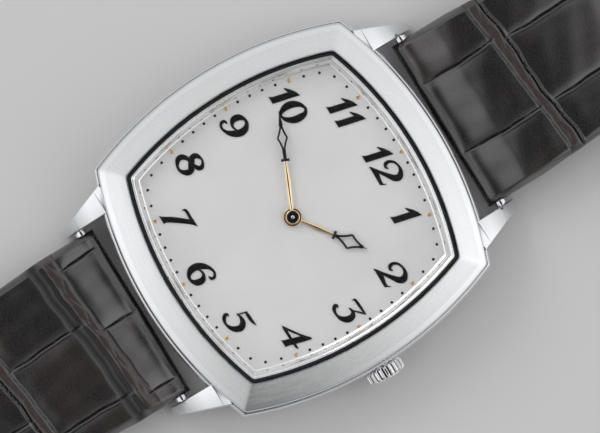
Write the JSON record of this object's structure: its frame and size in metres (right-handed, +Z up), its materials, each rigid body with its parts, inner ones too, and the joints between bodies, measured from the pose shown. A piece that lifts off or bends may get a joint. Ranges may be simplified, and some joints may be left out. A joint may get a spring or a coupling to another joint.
{
  "type": "automatic wristwatch",
  "caption": "Automatic wristwatch with a cushion-shaped steel case, silver dial with applied figures, pierced gold hands, fluted crown and padded crocodile-grain strap with pin buckle.",
  "frame": {"origin": "centre of the case back's resting face, under the hands' axis", "axes": "+Z up through the dial, +Y to 12 o'clock along the strap, +X to the crown at 3 o'clock"},
  "size_m": [0.0429, 0.2467, 0.0082],
  "materials": {
    "satin_steel": "satin",
    "polished_steel": "polished",
    "crystal": "clear, polished",
    "gasket": "matte",
    "dial_silver": "fine matte grain",
    "black_paint": "glossy",
    "rose_gold": "polished",
    "yellow_gold": "polished",
    "brass_wheel": "fine satin",
    "gilt_plate": "matte",
    "rhodium": "striped satin",
    "dark_steel": "polished",
    "blued_steel": "polished",
    "ruby": "polished",
    "strap_leather": "semi-matte scales",
    "lining_leather": "smooth matte"
  },
  "bodies": {
    "case": {"case_middle": "polished_steel", "bezel": "satin_steel", "crystal": "crystal", "crystal_gasket": "gasket", "flange_ring": "polished_steel", "dial": "dial_silver", "minute_dots": "black_paint", "hour_pips": "rose_gold", "dial_numerals": "black_paint", "movement_ring": "gilt_plate", "case_back_ring": "satin_steel", "case_back_crystal": "crystal", "case_back_gasket": "gasket", "case_back_screws": "polished_steel", "crown_tube": "polished_steel", "stem_gasket": "gasket", "mainplate": "gilt_plate", "barrel_bridge": "rhodium", "train_bridge": "rhodium", "pallet_bridge": "rhodium", "hairspring": "blued_steel", "balance_cock": "rhodium", "jewels": "ruby", "bridge_screws": "blued_steel", "rotor_bearing": "dark_steel", "spring_bars": "polished_steel"},
    "minute_hand": {"minute_hand": "yellow_gold", "cannon_pinion": "black_paint"},
    "hour_hand": {"hour_hand": "yellow_gold", "hour_wheel": "brass_wheel"},
    "minute_wheel": {"minute_wheel": "brass_wheel"},
    "barrel": {"barrel": "brass_wheel", "mainspring": "dark_steel"},
    "ratchet_wheel": {"ratchet_wheel": "rhodium", "barrel_arbor": "dark_steel"},
    "centre_wheel": {"centre_wheel": "brass_wheel"},
    "third_wheel": {"third_wheel": "brass_wheel"},
    "fourth_wheel": {"fourth_wheel": "brass_wheel"},
    "escape_wheel": {"escape_wheel": "rhodium"},
    "pallet_fork": {"pallet_fork": "rhodium"},
    "balance_wheel": {"balance_wheel": "brass_wheel"},
    "crown_wheel": {"crown_wheel": "rhodium"},
    "click": {"click": "dark_steel"},
    "winding_pinion": {"winding_pinion": "dark_steel"},
    "stem": {"winding_stem": "dark_steel", "crown": "polished_steel"},
    "sliding_pinion": {"sliding_pinion": "dark_steel"},
    "setting_lever": {"setting_lever": "dark_steel"},
    "yoke": {"yoke": "dark_steel"},
    "rotor": {"rotor": "yellow_gold"},
    "winding_wheel": {"winding_wheel": "brass_wheel"},
    "strap_upper": {"strap_upper": "strap_leather", "strap_upper_lining": "lining_leather", "fixed_keeper": "strap_leather"},
    "strap_lower": {"strap_lower": "strap_leather", "strap_lower_lining": "lining_leather"},
    "buckle_frame": {"buckle_frame": "polished_steel", "buckle_bar": "polished_steel"},
    "buckle_tang": {"buckle_tang": "polished_steel"},
    "loose_keeper": {"loose_keeper": "strap_leather"}
  },
  "joints": [
    {"name": "hands_turn", "type": "hinge", "parent": "case", "child": "minute_hand", "pos_m": [0, 0, 0.00671], "axis": [0, 0, -1], "continuous": true},
    {"name": "hour_hand_turn", "type": "hinge", "parent": "case", "child": "hour_hand", "pos_m": [0, 0, 0.00628], "axis": [0, 0, -1], "continuous": true},
    {"name": "minute_wheel_turn", "type": "hinge", "parent": "case", "child": "minute_wheel", "pos_m": [0.00271, 0.00099, 0.00523], "axis": [0, 0, -1], "continuous": true},
    {"name": "escape_wheel_turn", "type": "hinge", "parent": "case", "child": "escape_wheel", "pos_m": [-0.00516, -0.00378, 0.00375], "axis": [0, 0, 1], "continuous": true},
    {"name": "fourth_wheel_turn", "type": "hinge", "parent": "case", "child": "fourth_wheel", "pos_m": [-0.00271, -0.00623, 0.00315], "axis": [0, 0, 1], "continuous": true},
    {"name": "third_wheel_turn", "type": "hinge", "parent": "case", "child": "third_wheel", "pos_m": [0.00128, -0.00478, 0.0035], "axis": [0, 0, 1], "continuous": true},
    {"name": "centre_wheel_turn", "type": "hinge", "parent": "case", "child": "centre_wheel", "pos_m": [0, 0, 0.00415], "axis": [0, 0, 1], "continuous": true},
    {"name": "barrel_turn", "type": "hinge", "parent": "case", "child": "barrel", "pos_m": [0.00294, 0.00509, 0.00375], "axis": [0, 0, 1], "continuous": true},
    {"name": "balance_swing", "type": "hinge", "parent": "case", "child": "balance_wheel", "pos_m": [-0.008, 0.0025, 0.0032], "axis": [0, 0, 1], "range_deg": [-270, 270], "stiffness_Nm_per_rad": 0.00000017},
    {"name": "pallet_fork_rock", "type": "hinge", "parent": "case", "child": "pallet_fork", "pos_m": [-0.00623, -0.00142, 0.00375], "axis": [0, 0, 1], "range_deg": [-5, 5]},
    {"name": "crown_turn", "type": "hinge", "parent": "case", "child": "winding_pinion", "pos_m": [0.01012, 0, 0.00358], "axis": [1, 0, 0], "continuous": true},
    {"name": "crown_wheel_turn", "type": "hinge", "parent": "case", "child": "crown_wheel", "pos_m": [0.00732, 0, 0.00242], "axis": [0, 0, 1], "continuous": true},
    {"name": "ratchet_wheel_turn", "type": "hinge", "parent": "case", "child": "ratchet_wheel", "pos_m": [0.00294, 0.00509, 0.00242], "axis": [0, 0, 1], "continuous": true},
    {"name": "click_lift", "type": "hinge", "parent": "case", "child": "click", "pos_m": [0.00198, 0.01053, 0.00242], "axis": [0, 0, 1], "range_deg": [0, 8], "stiffness_Nm_per_rad": 0.00002},
    {"name": "crown_pull", "type": "slide", "parent": "winding_pinion", "child": "stem", "axis": [1, 0, 0], "range_m": [0, 0.0011]},
    {"name": "sliding_pinion_shift", "type": "slide", "parent": "winding_pinion", "child": "sliding_pinion", "axis": [1, 0, 0], "range_m": [-0.0009, 0]},
    {"name": "setting_lever_turn", "type": "hinge", "parent": "case", "child": "setting_lever", "pos_m": [0.01167, 0.00331, 0.0041], "axis": [0, 0, 1], "range_deg": [0, 21.6]},
    {"name": "yoke_turn", "type": "hinge", "parent": "case", "child": "yoke", "pos_m": [0.00849, -0.00367, 0.00346], "axis": [0, 0, 1], "range_deg": [0, 17.3]},
    {"name": "rotor_spin", "type": "hinge", "parent": "case", "child": "rotor", "pos_m": [0, 0, 0.00185], "axis": [0, 0, 1], "continuous": true},
    {"name": "winding_wheel_turn", "type": "hinge", "parent": "case", "child": "winding_wheel", "pos_m": [-0.00201, 0.00432, 0.00215], "axis": [0, 0, 1], "continuous": true},
    {"name": "strap_upper_swing", "type": "hinge", "parent": "case", "child": "strap_upper", "pos_m": [0, 0.02235, 0.0021], "axis": [1, 0, 0], "range_deg": [-95, 45]},
    {"name": "strap_lower_swing", "type": "hinge", "parent": "case", "child": "strap_lower", "pos_m": [0, -0.02235, 0.0021], "axis": [-1, 0, 0], "range_deg": [-95, 45]},
    {"name": "buckle_swing", "type": "hinge", "parent": "strap_upper", "child": "buckle_frame", "pos_m": [0, 0.09735, 0.00213], "axis": [1, 0, 0], "range_deg": [-100, 45]},
    {"name": "tang_lift", "type": "hinge", "parent": "buckle_frame", "child": "buckle_tang", "pos_m": [0, 0.09735, 0.00213], "axis": [1, 0, 0], "range_deg": [0, 86]},
    {"name": "loose_keeper_slide", "type": "slide", "parent": "strap_upper", "child": "loose_keeper", "axis": [0, 1, 0], "range_m": [-0.018, 0.0035]}
  ],
  "couplings": [
    {"joint": "hour_hand_turn", "follows": "hands_turn", "ratio": 0.083333},
    {"joint": "minute_wheel_turn", "follows": "hands_turn", "ratio": -0.33333},
    {"joint": "escape_wheel_turn", "follows": "fourth_wheel_turn", "ratio": -10},
    {"joint": "third_wheel_turn", "follows": "fourth_wheel_turn", "ratio": -0.13333},
    {"joint": "centre_wheel_turn", "follows": "fourth_wheel_turn", "ratio": 0.016667},
    {"joint": "barrel_turn", "follows": "fourth_wheel_turn", "ratio": -0.0027778},
    {"joint": "crown_wheel_turn", "follows": "crown_turn", "ratio": 0.35},
    {"joint": "ratchet_wheel_turn", "follows": "crown_turn", "ratio": -0.25},
    {"joint": "sliding_pinion_shift", "follows": "crown_pull", "ratio": -0.81818},
    {"joint": "setting_lever_turn", "follows": "crown_pull", "rad_per_m": 342.15},
    {"joint": "yoke_turn", "follows": "crown_pull", "rad_per_m": 273.76},
    {"joint": "winding_wheel_turn", "follows": "rotor_spin", "ratio": -0.54545}
  ]
}
